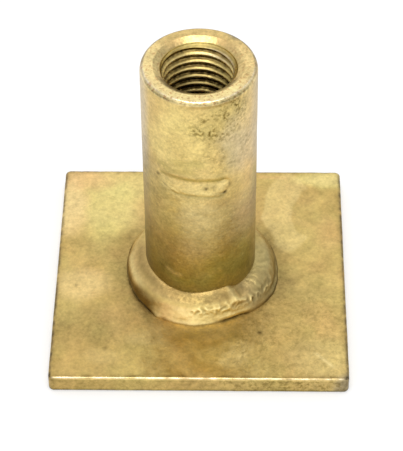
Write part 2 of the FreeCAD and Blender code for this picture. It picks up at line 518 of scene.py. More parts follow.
# %% [markdown]
# ## Thread
# The mouth is tapped with a coarse 20 mm thread of 2.5 mm pitch, right-handed. A screw modifier could sweep
# one tooth, but its ends would hang open in the countersink. Instead each row of points climbs by one pitch
# in a turn and meets, at the seam, the row one pitch higher. Rows are clipped at the countersink and at the
# end of the tapping, and wherever the countersink's cone is wider than the tooth, the cone has cut it away.

# %% Rows of the thread
THREAD_PITCH = 2.5 * MM
THREAD_ROOT = 9.75 * MM
ROWS_PER_PITCH = 14
CREST_HEIGHT = 75.1 * MM
CREST_FLAT = 0.06
ROOT_FLAT = 0.10
LEAD_IN = 1.7 * MM

thread_bottom = tapped_middle - tapped_length / 2
row_step = THREAD_PITCH / ROWS_PER_PITCH
row_count = math.ceil((thread_top - thread_bottom + THREAD_PITCH) / row_step) + 1
row_heights = thread_top - row_step * np.arange(row_count)
from_root = np.abs((row_heights - CREST_HEIGHT) / THREAD_PITCH % 1.0 - 0.5)
tooth = 1.0 - smooth_step(ROOT_FLAT, 0.5 - CREST_FLAT, from_root)
thread_heights = row_heights[:, None] + THREAD_PITCH * column_turns / (2 * math.pi)
thread_heights = np.clip(thread_heights, thread_bottom, thread_top)
run_out = smooth_step(thread_bottom, thread_bottom + 1.5 * THREAD_PITCH, thread_heights)
thread_radius = tapped_radius + (THREAD_ROOT - tapped_radius) * tooth[:, None] * run_out
lead_share = smooth_step(thread_top - LEAD_IN, thread_top, thread_heights)
lead_radius = tapped_radius + (MOUTH_END - tapped_radius) * lead_share
thread_radius = np.maximum(thread_radius, lead_radius)
thread_points = round_points(thread_radius, column_turns, thread_heights)
print("thread", row_count, "rows from", round(thread_bottom / MM, 2), "to", round(thread_top / MM, 2))

# %% Join outside, thread and bore
DRILL_HALF_ANGLE = math.radians(59.0)

bore_height = thread_bottom - (tapped_radius - BORE_RADIUS) / math.tan(DRILL_HALF_ANGLE)
bore_ring = round_points(BORE_RADIUS, column_turns, bore_height)
first_row = len(tube_points)
last_row = first_row + row_count - 1
tube_rows = np.concatenate([tube_points, thread_points, bore_ring[None]])


def across_seam(row):
    """Row that carries on from the last column of this one: a pitch higher inside the thread."""
    in_thread = first_row <= row <= last_row
    return max(row - ROWS_PER_PITCH, first_row) if in_thread else row


tube_faces = []
for row in range(len(tube_rows)):
    below = (row + 1) % len(tube_rows)
    for column in range(COLUMNS - 1):
        start, end = row * COLUMNS + column, below * COLUMNS + column
        tube_faces.append((start, start + 1, end + 1, end))
    start, end = row * COLUMNS + COLUMNS - 1, below * COLUMNS + COLUMNS - 1
    tube_faces.append((start, across_seam(row) * COLUMNS, across_seam(below) * COLUMNS, end))
tube = make_piece("tapped_tube", tube_rows, tube_faces)

# %% [markdown]
# ## Weld bead
# The fillet weld was laid by hand in two runs. On the left the metal flowed out smooth and broad. On the
# right each pulse of the arc froze as a crescent, and where the runs meet, in front, one stops in a small
# step, behind a crest that crumpled like foil. The CAD bead already has the right size and wander, so it is
# measured: rays leave the corner between tube and plate and the distance to its surface is kept. Ripples,
# crumples, the step and the ragged toe are added to that.

# %% Measure the CAD bead
BEAD_COLUMNS = 600
BEAD_ROWS = 46
ROOT_CLEAR = 0.02 * MM
RISE_MARGIN = 0.0045
SMOOTHING_ROUNDS = 3

bead_mesh = frame["nodes"]["weld_bead"].data
bead_tree = BVHTree.FromPolygons(
    [vertex.co for vertex in bead_mesh.vertices], [tuple(face.vertices) for face in bead_mesh.polygons]
)
bead_turns = np.arange(BEAD_COLUMNS) * 2 * math.pi / BEAD_COLUMNS
bead_rises = np.linspace(RISE_MARGIN, 1.0 - RISE_MARGIN, BEAD_ROWS) * math.pi / 2
bead_depth = np.zeros((BEAD_ROWS, BEAD_COLUMNS))
for column, turn in enumerate(bead_turns):
    away = Vector((math.cos(turn), math.sin(turn), 0.0))
    root = away * (tube_radius + ROOT_CLEAR) + Vector((0.0, 0.0, plate_top + ROOT_CLEAR))
    for row, bead_rise in enumerate(bead_rises):
        aim = away * math.cos(bead_rise) + Vector((0.0, 0.0, math.sin(bead_rise)))
        bead_depth[row, column] = bead_tree.ray_cast(root, aim)[3]
for _ in range(SMOOTHING_ROUNDS):
    bead_depth = (np.roll(bead_depth, 1, axis=1) + 2 * bead_depth + np.roll(bead_depth, -1, axis=1)) / 4
print("bead depth from", round(bead_depth.min() / MM, 2), "to", round(bead_depth.max() / MM, 2), "mm")

# %% Where each point of the bead lies
STOP_DEGREES = 305.0

climb = np.linspace(0.0, 1.0, BEAD_ROWS)[:, None]
from_stop = (np.degrees(bead_turns)[None, :] - STOP_DEGREES + 180.0) % 360.0 - 180.0


def bead_grid(depth):
    """Points of the bead's crown, at a depth from the corner along each of the rays."""
    out = tube_radius + depth * np.cos(bead_rises)[:, None]
    height = plate_top + depth * np.sin(bead_rises)[:, None]
    return round_points(out, bead_turns, height)


def run_part(first, last, soft):
    """Share that is 1 between two angles, counted from where the run stops, and 0 beyond a soft margin."""
    return plateau(first - soft, first + soft, last - soft, last + soft, from_stop)


bead_points = bead_grid(bead_depth)
print("bead grid", bead_points.shape[:2])

# %% Ledge and ripples of the bead
# What is added is in millimetres, at angles counted from where the run stops
RIPPLE_PITCH = 2.5 * MM
CREST_RADIUS = 19 * MM

full_left = run_part(-150.0, -80.0, 16.0)
ledge = 0.2 * hump(0.64, 0.16, climb) * (1 - full_left)
ledge = ledge - 0.22 * hump(0.28, 0.2, climb) * run_part(-76.0, 28.0, 14.0)
ledge = ledge + (0.25 * hump(0.45, 0.2, climb) - 0.2 * hump(0.8, 0.12, climb)) * full_left
drift = 2.2 * MM * lumps(bead_points, 5 * MM, 11.0) + 0.8 * MM * lumps(bead_points, 2 * MM, 15.0)
along_run = np.radians(from_stop) * CREST_RADIUS + 2.2 * MM * (2 * climb - 1.1) ** 2 + drift
crescent = np.abs(np.sin(math.pi * along_run / RIPPLE_PITCH)) - 0.6
uneven = np.clip(0.7 + 1.2 * lumps(bead_points, 4 * MM, 17.0), 0.2, 1.3)
side_ripples = 0.15 * run_part(20.0, 60.0, 6.0) * plateau(0.2, 0.45, 0.85, 1.0, climb)
back_ripples = 0.07 * (1.0 - run_part(-140.0, 64.0, 8.0)) * hump(0.55, 0.3, climb)
ripples = (side_ripples + back_ripples) * crescent * uneven
print("ripples from", round(ripples.min(), 2), "to", round(ripples.max(), 2), "mm")


# %% Crumpled crest and step of the bead
def crumples(points, size, seed):
    """Sharp crests between smooth hollows, from about -1 to 1, like foil crumpled at one size."""
    return 1.0 - 3.0 * np.abs(lumps(points, size, seed))


on_crest = run_part(-44.0, 8.0, 8.0) * hump(0.47, 0.15, climb)
on_crest = on_crest + 0.8 * run_part(6.0, 38.0, 8.0) * hump(0.38, 0.13, climb)
foil = 0.17 * crumples(bead_points, 2.5 * MM, 26.0) + 0.1 * crumples(bead_points, 1.4 * MM, 18.0)
ragged_stop = from_stop + 3.0 * lumps(bead_points, 2.2 * MM, 19.0)
raised = smooth_step(-18.0, -3.0, from_stop) * smooth_step(5.0, -4.0, ragged_stop)
dropped = smooth_step(-4.0, 5.0, ragged_stop) * smooth_step(26.0, 8.0, from_stop)
stop_step = 0.3 * raised * smooth_step(0.35, 0.6, climb) - 0.55 * dropped * smooth_step(0.45, 0.7, climb)
lump = 0.12 * lumps(bead_points, 3.6 * MM, 12.0) + 0.05 * lumps(bead_points, 1.2 * MM, 13.0)
added = ledge * smooth_step(1.0, 0.9, climb) + ripples + on_crest * foil
added = added + stop_step + lump * plateau(0.0, 0.2, 0.85, 1.0, climb)
print("added to the bead from", round(added.min(), 2), "to", round(added.max(), 2), "mm")

# %% Ragged toe of the bead
toe_points = bead_points * [1, 1, 0]
toe_wander = 0.28 * lumps(toe_points, 3.6 * MM, 14.0) * smooth_step(0.3, 0.0, climb)
dribble = 0.55 * hump(-69.0, 4.5, from_stop) * smooth_step(0.16, 0.0, climb)
toe_lip = 0.12 * run_part(-58.0, -22.0, 6.0) * (smooth_step(0.1, 0.02, climb) - 0.4 * hump(0.15, 0.06, climb))
undercut = -0.45 * hump(-6.0, 11.0, from_stop) * smooth_step(0.16, 0.0, climb)
left_cut = -0.3 * hump(-97.0, 16.0, from_stop) * smooth_step(0.14, 0.0, climb)
skirt = 0.3 * run_part(30.0, 90.0, 10.0) * (smooth_step(0.1, 0.04, climb) - 0.7 * hump(0.16, 0.05, climb))
toe_moved = toe_wander + dribble + toe_lip + undercut + left_cut + skirt
added = added + toe_moved
print("toe moved from", round(toe_moved[0].min(), 2), "to", round(toe_moved[0].max(), 2), "mm")

# %% Skin the bead
SUNK = 0.1 * MM

laid_depth = bead_depth + added * MM


def bead_ring(out, rise_up):
    """Ring round the tube, at distances out from its wall and up from the plate."""
    return round_points(tube_radius + out, bead_turns, plate_top + rise_up)


toe_ring = bead_ring(laid_depth[0], -SUNK)
top_ring = bead_ring(-SUNK, laid_depth[-1])
root_ring = bead_ring(-SUNK, -SUNK)
bead_rows = np.concatenate([toe_ring[None], bead_grid(laid_depth), top_ring[None], root_ring[None]])
weld = make_piece("laid_weld", bead_rows, ring_quads(len(bead_rows), BEAD_COLUMNS, closed=True))

# %% [markdown]
# ## Yellow plating
# Passivated zinc is a thin glassy film over bright metal. Its thickness drifts, and with it the colour: gold
# where it is even, lemon or salmon where it is thin, brown and olive where it is thick or the steel beneath
# is rough. An image could be wrapped round the part, but a procedural finish has no seams and no fixed size.
# Two tools share the work: marks with a known place are worked out per point and kept on the mesh as named
# shares, and a node tree mixes a colour in for each of them and adds the fine grain between the points. Many
# of the marks are painted light: highlights on edges and crests, and shade in hollows, toward feet and on
# sides.

# %% Marks kept on the points
GOLD = screen_colour(212, 182, 112)
FILM_COLOURS = {
    "lemon": screen_colour(232, 218, 136),
    "salmon": screen_colour(238, 190, 130),
    "pale": screen_colour(246, 222, 154),
    "brown": screen_colour(156, 120, 60),
    "olive": screen_colour(150, 142, 70),
    "grey": screen_colour(184, 172, 144),
    # Nearly bare metal of the faced rim; the same colour paints highlights on crests, ridges and small spots
    "bare_and_highlight": screen_colour(255, 232, 164),
    # Near-white colour of painted highlights on edges and crests, and of a painted sheen on the tube's sides
    "painted_highlight": screen_colour(250, 238, 214),
}
OTHER_MARKS = ("dark", "shade_and_stain", "pitted", "faced")


def piece_points(piece):
    """Points of a finished piece, as rows of x, y, z in metres."""
    points = np.empty(3 * len(piece.data.vertices))
    piece.data.vertices.foreach_get("co", points)
    return points.reshape(-1, 3)


def add_listed(marks, listed, patch):
    """Adds to each mark the patches that are listed for it, each with its strength and then its place."""
    for name, patches in listed.items():
        for strength, *place in patches:
            marks[name] = marks.get(name, 0.0) + strength * patch(*place)


def keep_marks(piece, marks):
    """Stores each share, from 0 to 1, as a named value on the piece's points."""
    for name in (*FILM_COLOURS, *OTHER_MARKS):
        share = np.clip(marks.get(name, np.zeros(len(piece.data.vertices))), 0.0, 1.0)
        piece.data.attributes.new(name, "FLOAT", "POINT").data.foreach_set("value", share.astype(np.float32))
    print(piece.name, {name: round(float(share.mean()), 3) for name, share in marks.items()})


print("film colours", ", ".join(FILM_COLOURS))

# %% Film
EDGE_TINT = (0.72, 0.72, 0.76, 1.0)


class Film:
    """Node tree of one plated piece: the kept marks, the grain between them, the relief and the gloss."""

    def __init__(self, name, seed):
        self.material = bpy.data.materials.new(name)
        self.material.use_nodes = True
        self.tree = self.material.node_tree
        self.shader = self.tree.nodes["Principled BSDF"]
        self.shader.inputs["Metallic"].default_value = 1.0
        self.shader.inputs["Specular Tint"].default_value = EDGE_TINT
        self.place = add_node(self.tree, "TexCoord").outputs["Object"]
        self.seed = seed
        self.colour = GOLD
        self.brightness = 1.0
        self.relief = 0.0

    def cloud(self, size, low, high, detail, squash=1.0):
        """Cloudy share, its patches about as wide as size and flattened by squash, from noise of its own."""
        self.seed += 1.0
        place = add_node(self.tree, "Mapping", {"Vector": self.place, "Scale": (1.0, 1.0, squash)}).outputs[0]
        inputs = {"Vector": place, "W": self.seed, "Scale": 1.0 / size, "Detail": detail, "Roughness": 0.6}
        texture = add_node(self.tree, "TexNoise", inputs, noise_dimensions="4D")
        spread = {"Value": texture.outputs[0], "From Min": low, "From Max": high}
        return add_node(self.tree, "MapRange", spread, interpolation_type="SMOOTHSTEP").outputs[0]

    def mark(self, name):
        """Share kept on the points under a name."""
        return add_node(self.tree, "Attribute", attribute_name=name).outputs["Fac"]

    def times(self, first, second):
        """Product of two shares."""
        return add_node(self.tree, "Math", {0: first, 1: second}, operation="MULTIPLY").outputs[0]

    def add_share(self, share, amount, base):
        """A base plus an amount of a share."""
        inputs = {0: share, 1: amount, 2: base}
        return add_node(self.tree, "Math", inputs, operation="MULTIPLY_ADD").outputs[0]

    def tint(self, share, colour, strength):
        """Mixes a colour in by a share and a strength."""
        inputs = {0: self.times(share, strength), 6: self.colour, 7: colour}
        self.colour = add_node(self.tree, "Mix", inputs, data_type="RGBA").outputs[2]

    def mottle(self, size, amount, squash=1.0):
        """Lightens and darkens the colour in patches about as wide as size."""
        share = self.add_share(self.cloud(size, 0.2, 0.8, 3.0, squash), 1.0, -0.5)
        self.brightness = self.add_share(share, amount, self.brightness)

    def lift(self, share, height):
        """Adds a share to the relief, at a height in metres."""
        self.relief = self.add_share(share, height, self.relief)

    def close(self, smooth, rough, faced):
        """Links colour, roughness and relief to the shader and gives the material."""
        inputs = {0: self.cloud(6 * MM, 0.35, 0.65, 4.0), 2: smooth, 3: rough}
        roughness = add_node(self.tree, "Mix", inputs, data_type="FLOAT").outputs[0]
        inputs = {0: self.mark("faced"), 2: roughness, 3: faced}
        roughness = add_node(self.tree, "Mix", inputs, data_type="FLOAT").outputs[0]
        bump = add_node(self.tree, "Bump", {"Height": self.relief, "Distance": 1.0})
        colour = add_node(self.tree, "HueSaturation", {"Color": self.colour, "Value": self.brightness})
        self.tree.links.new(colour.outputs[0], self.shader.inputs["Base Color"])
        self.tree.links.new(roughness, self.shader.inputs["Roughness"])
        self.tree.links.new(bump.outputs[0], self.shader.inputs["Normal"])
        print(self.material.name, len(self.tree.nodes), "nodes")
        return self.material


print("film's edge tint", EDGE_TINT[:3])

# %% Drift, pits and grain
DARK = screen_colour(60, 46, 22)
RUST = screen_colour(126, 106, 48)
SHADE_DARKENING = 0.6
PIT_DEPTH = 0.03 * MM
PITTED_LIFT = 0.035 * MM
GRAIN_LIFT = 0.02 * MM
BLOTCH_LIFT = 0.05 * MM


def drifting_film(name, seed, blotches, grain):
    """Film of every piece: blotches scales its patches over a millimetre wide, and grain the finer ones."""
    film = Film(name, seed)
    film.tint(film.cloud(15 * MM, 0.42, 0.66, 2.0), FILM_COLOURS["lemon"], 0.25)
    film.tint(film.cloud(11 * MM, 0.45, 0.7, 2.0), FILM_COLOURS["salmon"], 0.2)
    film.tint(film.cloud(6 * MM, 0.4, 0.68, 1.5), FILM_COLOURS["olive"], 0.14)
    for mark, colour in FILM_COLOURS.items():
        film.tint(film.times(film.mark(mark), film.cloud(2.5 * MM, 0.05, 0.5, 4.0)), colour, 1.0)
    film.tint(film.times(film.mark("dark"), film.cloud(0.9 * MM, 0.15, 0.5, 3.0)), DARK, 1.0)
    clusters = film.times(film.mark("pitted"), film.cloud(2.6 * MM, 0.33, 0.58, 2.0))
    pits = film.times(clusters, film.cloud(0.9 * MM, 0.42, 0.62, 4.0))
    film.tint(pits, RUST, 0.95)
    freckled = film.add_share(film.mark("pitted"), 0.9, 0.1)
    film.tint(film.times(film.cloud(0.75 * MM, 0.63, 0.72, 2.0), freckled), RUST, 0.55)
    # Darkens the colour by its share: mostly painted shade, and some stains
    film.brightness = film.add_share(film.mark("shade_and_stain"), -SHADE_DARKENING, 1.0)
    film.mottle(4.5 * MM, 0.25 * blotches)
    film.mottle(1.6 * MM, 0.28 * blotches)
    film.mottle(0.7 * MM, 0.26 * grain)
    film.mottle(2.2 * MM, 0.2 * blotches, squash=2.2)
    film.lift(pits, -PIT_DEPTH)
    film.lift(film.times(film.mark("pitted"), film.cloud(1.3 * MM, 0.3, 0.7, 3.0)), PITTED_LIFT)
    film.lift(film.cloud(0.9 * MM, 0.25, 0.75, 3.0), GRAIN_LIFT * grain)
    film.lift(film.cloud(2.4 * MM, 0.25, 0.75, 2.0), BLOTCH_LIFT * blotches)
    return film


print("pits", PIT_DEPTH / MM, "mm deep")

# %% [markdown]
# ## Finish of the plate
# The plate is browner round the tube, and painted shade darkens it beside the weld and in front of its toe.
# Pale stains dried where rinsing water stood, salmon and lemon lie toward the far left, and the sheared edges
# have a thin dark line. Along the front edge a painted highlight runs between painted shade, the front face
# is painted darker and a painted shadow lines the foot. Noise bends the places where the stains lie, so that
# their rims wander as those of a dried puddle do.

# %% Places on the plate, in millimetres
on_plate = piece_points(plate)
plate_x, plate_y, plate_z = on_plate.T / MM
bend_x = plate_x + 2.2 * lumps(on_plate, 9 * MM, 20.0) + 0.5 * lumps(on_plate, 3 * MM, 21.0)
bend_y = plate_y + 2.2 * lumps(on_plate, 9 * MM, 22.0) + 0.5 * lumps(on_plate, 3 * MM, 23.0)


def plate_patch(x, y, half_width, half_length, soft=0.5):
    """Share that is 1 in an oval round a spot on the plate and falls to 0 over its soft, bent rim."""
    distance = np.hypot((bend_x - x) / half_width, (bend_y - y) / half_length)
    return smooth_step(1.0 + soft, 1.0 - soft, distance)


def plate_spot(x, y, size=0.6):
    """Share that is 1 at a spot on the plate and dies away about one size from it."""
    return hump(0.0, size, np.hypot(plate_x - x, plate_y - y))


def scratch(start_x, start_y, end_x, end_y, width):
    """Share that is 1 along a straight scratch on the plate and dies away about one width to either side."""
    run_x, run_y = end_x - start_x, end_y - start_y
    share = ((plate_x - start_x) * run_x + (plate_y - start_y) * run_y) / (run_x**2 + run_y**2)
    share = np.clip(share, 0.0, 1.0)
    return hump(0.0, width, np.hypot(plate_x - start_x - share * run_x, plate_y - start_y - share * run_y))


print("plate", len(on_plate), "points")

# %% Edges of the plate
outward = np.maximum(np.abs(plate_x), np.abs(plate_y))
beads = np.clip(0.7 + 0.8 * lumps(on_plate, 1.5 * MM, 24.0), 0.0, 1.0)
breaks = np.clip(0.4 + 1.6 * lumps(on_plate, 2.3 * MM, 25.0), 0.0, 1.0)
upper_side = smooth_step(2.6, 4.2, plate_z) * smooth_step(-39.5, -39.0, plate_y)
edge_band = smooth_step(37.6, 39.2, outward) * upper_side
edge_line = smooth_step(38.9, 39.5, outward) * upper_side * beads
# Front edge: painted shade behind the roll, a painted highlight on it and painted shade on its lower turn
front_edge_shade = hump(-38.9, 0.4, plate_y) * smooth_step(4.5, 4.8, plate_z) * breaks
front_glint = hump(-39.5, 0.16, plate_y) * smooth_step(4.6, 4.8, plate_z)
front_roll_shade = smooth_step(-39.6, -39.8, plate_y) * smooth_step(4.0, 4.4, plate_z)
# Painted shade on the front face, over its real pits, and a painted shadow along the plate's foot
front_face = smooth_step(-39.4, -39.8, plate_y) * smooth_step(4.6, 4.1, plate_z)
foot_shadow_line = smooth_step(0.9, 0.3, plate_z) * smooth_step(38.5, 39.2, outward)
corners = smooth_step(76.5, 78.8, np.abs(plate_x) + np.abs(plate_y)) * beads
print("dark edge line on", round(float((edge_line > 0.5).mean()), 3), "of the points")

# %% Browner zone, painted shade and stains of the plate
round_weld = np.hypot(bend_x, bend_y)
# Browner round the tube, and a painted shade on the plate beside the weld's left and right
browner_round_tube = smooth_step(33.0, 22.0, round_weld)
shade_beside_weld = smooth_step(29.0, 21.0, round_weld) * smooth_step(8.0, 18.0, np.abs(plate_x))
shade_beside_weld = shade_beside_weld * (1 - 0.7 * smooth_step(-8.0, -18.0, plate_y))
# Painted shade on the plate in front of the weld's toe, deepest under its crest
toe_shade = smooth_step(27.0, 22.0, np.hypot(plate_x, plate_y)) * smooth_step(-12.0, -18.0, plate_y)
toe_shade = toe_shade * hump(-1.0, 11.0, plate_x)
shade_under_crest = toe_shade * hump(2.0, 7.0, plate_x)
dry_oval = plate_patch(33.5, 22.5, 8, 10.5, 0.06)
rinse_stain = plate_patch(25, 24, 7, 17, 0.06) * (1 - dry_oval)
far_left = smooth_step(-6.0, -22.0, bend_x) * smooth_step(8.0, 22.0, bend_y)
rough_front = smooth_step(2.0, 12.0, bend_x) * smooth_step(-4.0, -14.0, bend_y)
print("heated zone on", round(float((browner_round_tube > 0.5).mean()), 3), "of the points")

# %% Finish the plate
# Strength, middle in x and y, half width and half length, and softness of the rim where it isn't 0.5
PLATE_PATCHES = {
    "lemon": ((0.7, -27, 23, 7, 13), (0.6, 36, 37, 8, 4, 0.4), (0.5, -19, 33, 8, 6)),
    "salmon": ((0.7, -34, 36, 7, 4), (0.8, -38, 25, 5, 10), (0.35, -33, -5, 8, 5), (0.25, 36, 15, 4, 6)),
    "pale": (
        (0.45, -33, -5, 8, 5),
        (0.3, 33, -35, 9, 8),
        (0.2, -26.7, -32.4, 5, 3.5, 0.4),
        (0.7, 8, -31, 6, 4, 0.4),
        (0.2, 8, -36, 9, 5),
        (0.3, -13, -25, 5, 3),
    ),
    "brown": ((0.12, -34, -28, 10, 9),),
    "grey": ((0.6, 40, -40, 3, 3),),
    "bare_and_highlight": ((0.6, -38, 25, 5, 10), (0.4, 36, 37, 6, 3)),
    "shade_and_stain": (
        (0.3, -31, -20, 10, 7),
        (0.16, -30, 9, 6, 5, 0.6),
        (0.12, 35, -3, 5, 6, 0.6),
        (0.22, 28, -8, 6, 7, 0.7),
        (0.3, 40, -40, 3, 3),
    ),
}
# Strength and place in x and y
PLATE_SPOTS = {"dark": ((0.5, -34.4, -6.0), (0.9, 16.3, -23.2), (0.4, -25.2, -29.1), (0.3, -23.6, -24.9))}
# Strength, start and end in x and y, and width
PLATE_SCRATCHES = {"salmon": ((0.4, 17, 37.5, 24, 37, 0.7),), "pale": ((0.6, 31.3, -30.6, 35.7, -35.2, 0.5),)}

plate_marks = {
    "pale": 0.4 * rinse_stain + 0.3 * far_left,
    "brown": 0.16 * browner_round_tube * (1 - rinse_stain)
    + 0.03 * dry_oval
    + 0.2 * (front_face + front_edge_shade)
    + 0.12 * edge_band,
    "olive": 0.6 * foot_shadow_line + 0.1 * front_face + 0.25 * toe_shade,
    "grey": 0.3 * edge_line + 0.3 * toe_shade,
    "painted_highlight": 0.8 * front_glint * (1 - 0.8 * breaks),
    "dark": 0.65 * edge_line + 0.7 * foot_shadow_line * beads + 0.35 * (corners + front_edge_shade + front_glint * breaks),
    "shade_and_stain": (0.49 + 0.11 * np.sign(plate_x)) * shade_beside_weld
    + 0.36 * shade_under_crest
    + 0.12 * front_face
    + 0.1 * edge_band
    + 0.3 * front_roll_shade,
    "pitted": 0.32 * rough_front + 0.4 * front_face,
}
add_listed(plate_marks, PLATE_PATCHES, plate_patch)
add_listed(plate_marks, PLATE_SPOTS, plate_spot)
add_listed(plate_marks, PLATE_SCRATCHES, scratch)
keep_marks(plate, plate_marks)
plate_film = drifting_film("plate_plating", 0.0, blotches=0.82, grain=0.8)
plate.data.materials.append(plate_film.close(smooth=0.33, rough=0.45, faced=0.3))

# %% [markdown]
# ## Finish of the tube
# The wall is painted paler in its upper half and down the middle of its front, and darker toward the foot,
# where it is olive, and on both sides. A painted grey sheen runs along its left and right edges. To the
# right of the front, small pits held acid and turned dark. A painted shade lies along the scars' upper edge,
# and their lower edge, round end and faint arcs have dark lines. The faced rim is almost bare, with copper
# flecks; its face is painted brighter in front and darker behind, a painted highlight runs along its front
# edge with painted shade below, and the countersink is painted darker in front and on the left. Inside, the
# crests carry painted highlights, painted shade fills the roots and the light dies away down the bore.

# %% Places on the tube, in millimetres and degrees
on_tube = piece_points(tube)
tube_x, tube_y, tube_z = on_tube.T / MM
tube_r = np.hypot(tube_x, tube_y)
tube_deg = (np.degrees(np.arctan2(tube_y, tube_x)) - 90) % 360 + 90
outside = smooth_step(13.6, 14.4, tube_r)
bend_z = tube_z + 3.0 * lumps(on_tube, 9 * MM, 30.0) + 1.2 * lumps(on_tube, 3 * MM, 31.0)
bend_deg = tube_deg + 9.0 * lumps(on_tube, 8 * MM, 32.0) + 4.0 * lumps(on_tube, 3 * MM, 33.0)
broken = np.clip(0.6 + 1.4 * lumps(on_tube, 2.0 * MM, 34.0), 0.0, 1.0)
specks = np.clip(0.55 + 1.6 * lumps(on_tube, 0.9 * MM, 35.0), 0.0, 1.0)


def wall_patch(degrees, height, half_width, half_height, soft=0.5):
    """Share that is 1 in an oval round a spot on the tube's wall and falls to 0 over its soft, bent rim."""
    across = np.radians(bend_deg - degrees) * tube_radius / MM / half_width
    return outside * smooth_step(1.0 + soft, 1.0 - soft, np.hypot(across, (bend_z - height) / half_height))


def wall_spot(degrees, height, size=0.6):
    """Share that is 1 at a spot on the tube's wall and dies away about one size from it."""
    across = np.radians(tube_deg - degrees) * tube_radius / MM
    return outside * hump(0.0, size, np.hypot(across, tube_z - height))


print("tube", len(on_tube), "points,", round(float((outside > 0.5).mean()), 2), "of them outside")

# %% Scars and pits of the tube
upper_edge, lower_edge = scar_edges(on_tube)
scarred = plateau(225.0, 232.0, 294.0, 299.0, tube_deg) * outside
# Painted shade along the scar's upper edge and just above it
upper_edge_shade = hump(upper_edge + 0.2, 0.7, tube_z) * scarred
shade_above_edge = plateau(-0.4, 0.0, 0.0, 2.0, tube_z - upper_edge) * scarred
lower_line = hump(lower_edge, 0.6, tube_z) * scarred * smooth_step(236.0, 248.0, tube_deg)
scar_band = plateau(lower_edge, lower_edge + 1.0, upper_edge - 1.0, upper_edge, tube_z) * scarred
hook_ring, hook_pressed = round_end(tube_deg, tube_z)
hook = hook_ring * outside * (0.75 + 0.25 * hook_pressed)
arc_lines = faint_arcs(tube_deg, tube_z) * scarred * smooth_step(262.0, 246.0, tube_deg)
scar_lines = (0.2 * lower_line + 0.4 * hook + 0.15 * arc_lines) * broken
pitted = np.maximum(wall_patch(298, 74, 6, 5), 0.9 * wall_patch(284, 70, 5, 3))
pitted = np.maximum(pitted, 0.35 * wall_patch(304, 64, 8, 8, 0.6))
print("pits on", round(float((pitted > 0.5).mean()), 3), "of the points")

# %% Zones of the tube's wall
# Painted light and shade: the upper half and the front's middle are painted paler, the lower half and foot
# darker
upper_half = smooth_step(44.0, 56.0, bend_z) * outside
lower_half = smooth_step(53.0, 38.0, bend_z) * outside
foot = smooth_step(36.0, 16.0, bend_z) * outside
front_stripe = hump(268.0, 24.0, bend_deg)
middle = front_stripe * smooth_step(32.0, 44.0, bend_z) * outside
round_right = smooth_step(430.0, 370.0, tube_deg) * outside
round_left = smooth_step(110.0, 170.0, tube_deg) * outside
# Painted shade on the wall's sides, and a painted grey sheen along its left and right edges
left_side = smooth_step(250.0, 224.0, tube_deg) * round_left
right_side = smooth_step(286.0, 318.0, tube_deg) * round_right
left_edge_sheen = smooth_step(216.0, 198.0, tube_deg) * round_left
right_edge_sheen = smooth_step(326.0, 344.0, tube_deg) * round_right
grey_right = smooth_step(238.0, 252.0, bend_deg) * smooth_step(22.0, 34.0, bend_z) * lower_half * round_right
lower_wall_shade = lower_half * (1 - right_side * (0.25 + 0.75 * foot)) * (1 - 0.95 * middle)
print("pale upper half on", round(float((upper_half > 0.5).mean()), 2), "of the points")

# %% Rim and thread of the tube
on_face = smooth_step(78.8, 79.2, tube_z) * smooth_step(9.7, 10.2, tube_r)
rim_top = smooth_step(79.1, 79.4, tube_z)
rim_line = smooth_step(13.9, 14.3, tube_r) * rim_top * smooth_step(-6.0, 2.0, tube_y) * (0.5 + 0.5 * broken)
# Rim edge: a painted highlight along its front, painted shade below it and on the wall under the rim
rim_glint = hump(14.2, 0.25, tube_r) * rim_top * smooth_step(1.0, -5.0, tube_y) * (1 - 0.6 * broken)
rim_shade = plateau(198.0, 214.0, 326.0, 342.0, tube_deg) * hump(79.35, 0.3, tube_z)
under_rim_shade = plateau(246.0, 270.0, 300.0, 318.0, tube_deg) * plateau(77.9, 78.5, 79.5, 79.8, tube_z) * outside
# Painted shade on the countersink's front, more of it on the left
chamfer = smooth_step(11.8, 11.6, tube_r) * on_face
front_chamfer = chamfer * smooth_step(11.0, 4.0, tube_y)
back_chamfer = chamfer - front_chamfer
shaded_left_chamfer = front_chamfer * smooth_step(6.0, -9.0, tube_x)
# The almost bare rim face is painted brighter in front and on the left, and darker and more lemon at the back
rim_back = on_face * (1 - chamfer) * smooth_step(5.0, 11.0, tube_y)
rim_lit_front = np.maximum(smooth_step(-4.0, -9.0, tube_y), 0.6 * smooth_step(-6.0, -12.0, tube_x))
rim_face_lit_front = on_face * (0.62 + 0.38 * rim_lit_front) * (1 - 0.8 * rim_back - 0.6 * back_chamfer)
rim_stain = smooth_step(13.0, 13.6, tube_r) * hump(9.1, 1.6, tube_x) * hump(11.0, 1.6, tube_y) * on_face
inside_mouth = smooth_step(10.4, 9.9, tube_r)
# Thread: painted highlights on the first crest and on the crests, painted shade in the roots
first_crest_glint = smooth_step(9.3, 8.9, tube_r) * smooth_step(75.4, 76.2, tube_z)
lit_crests = smooth_step(9.02, 8.84, tube_r) * smooth_step(56.0, 66.0, tube_z)
shaded_roots = smooth_step(9.1, 9.5, tube_r) * inside_mouth * smooth_step(78.6, 77.8, tube_z)
depth = smooth_step(74.0, 61.0, tube_z) * inside_mouth
print("rim and thread hold", round(float((on_face + inside_mouth > 0.5).mean()), 2), "of the points")

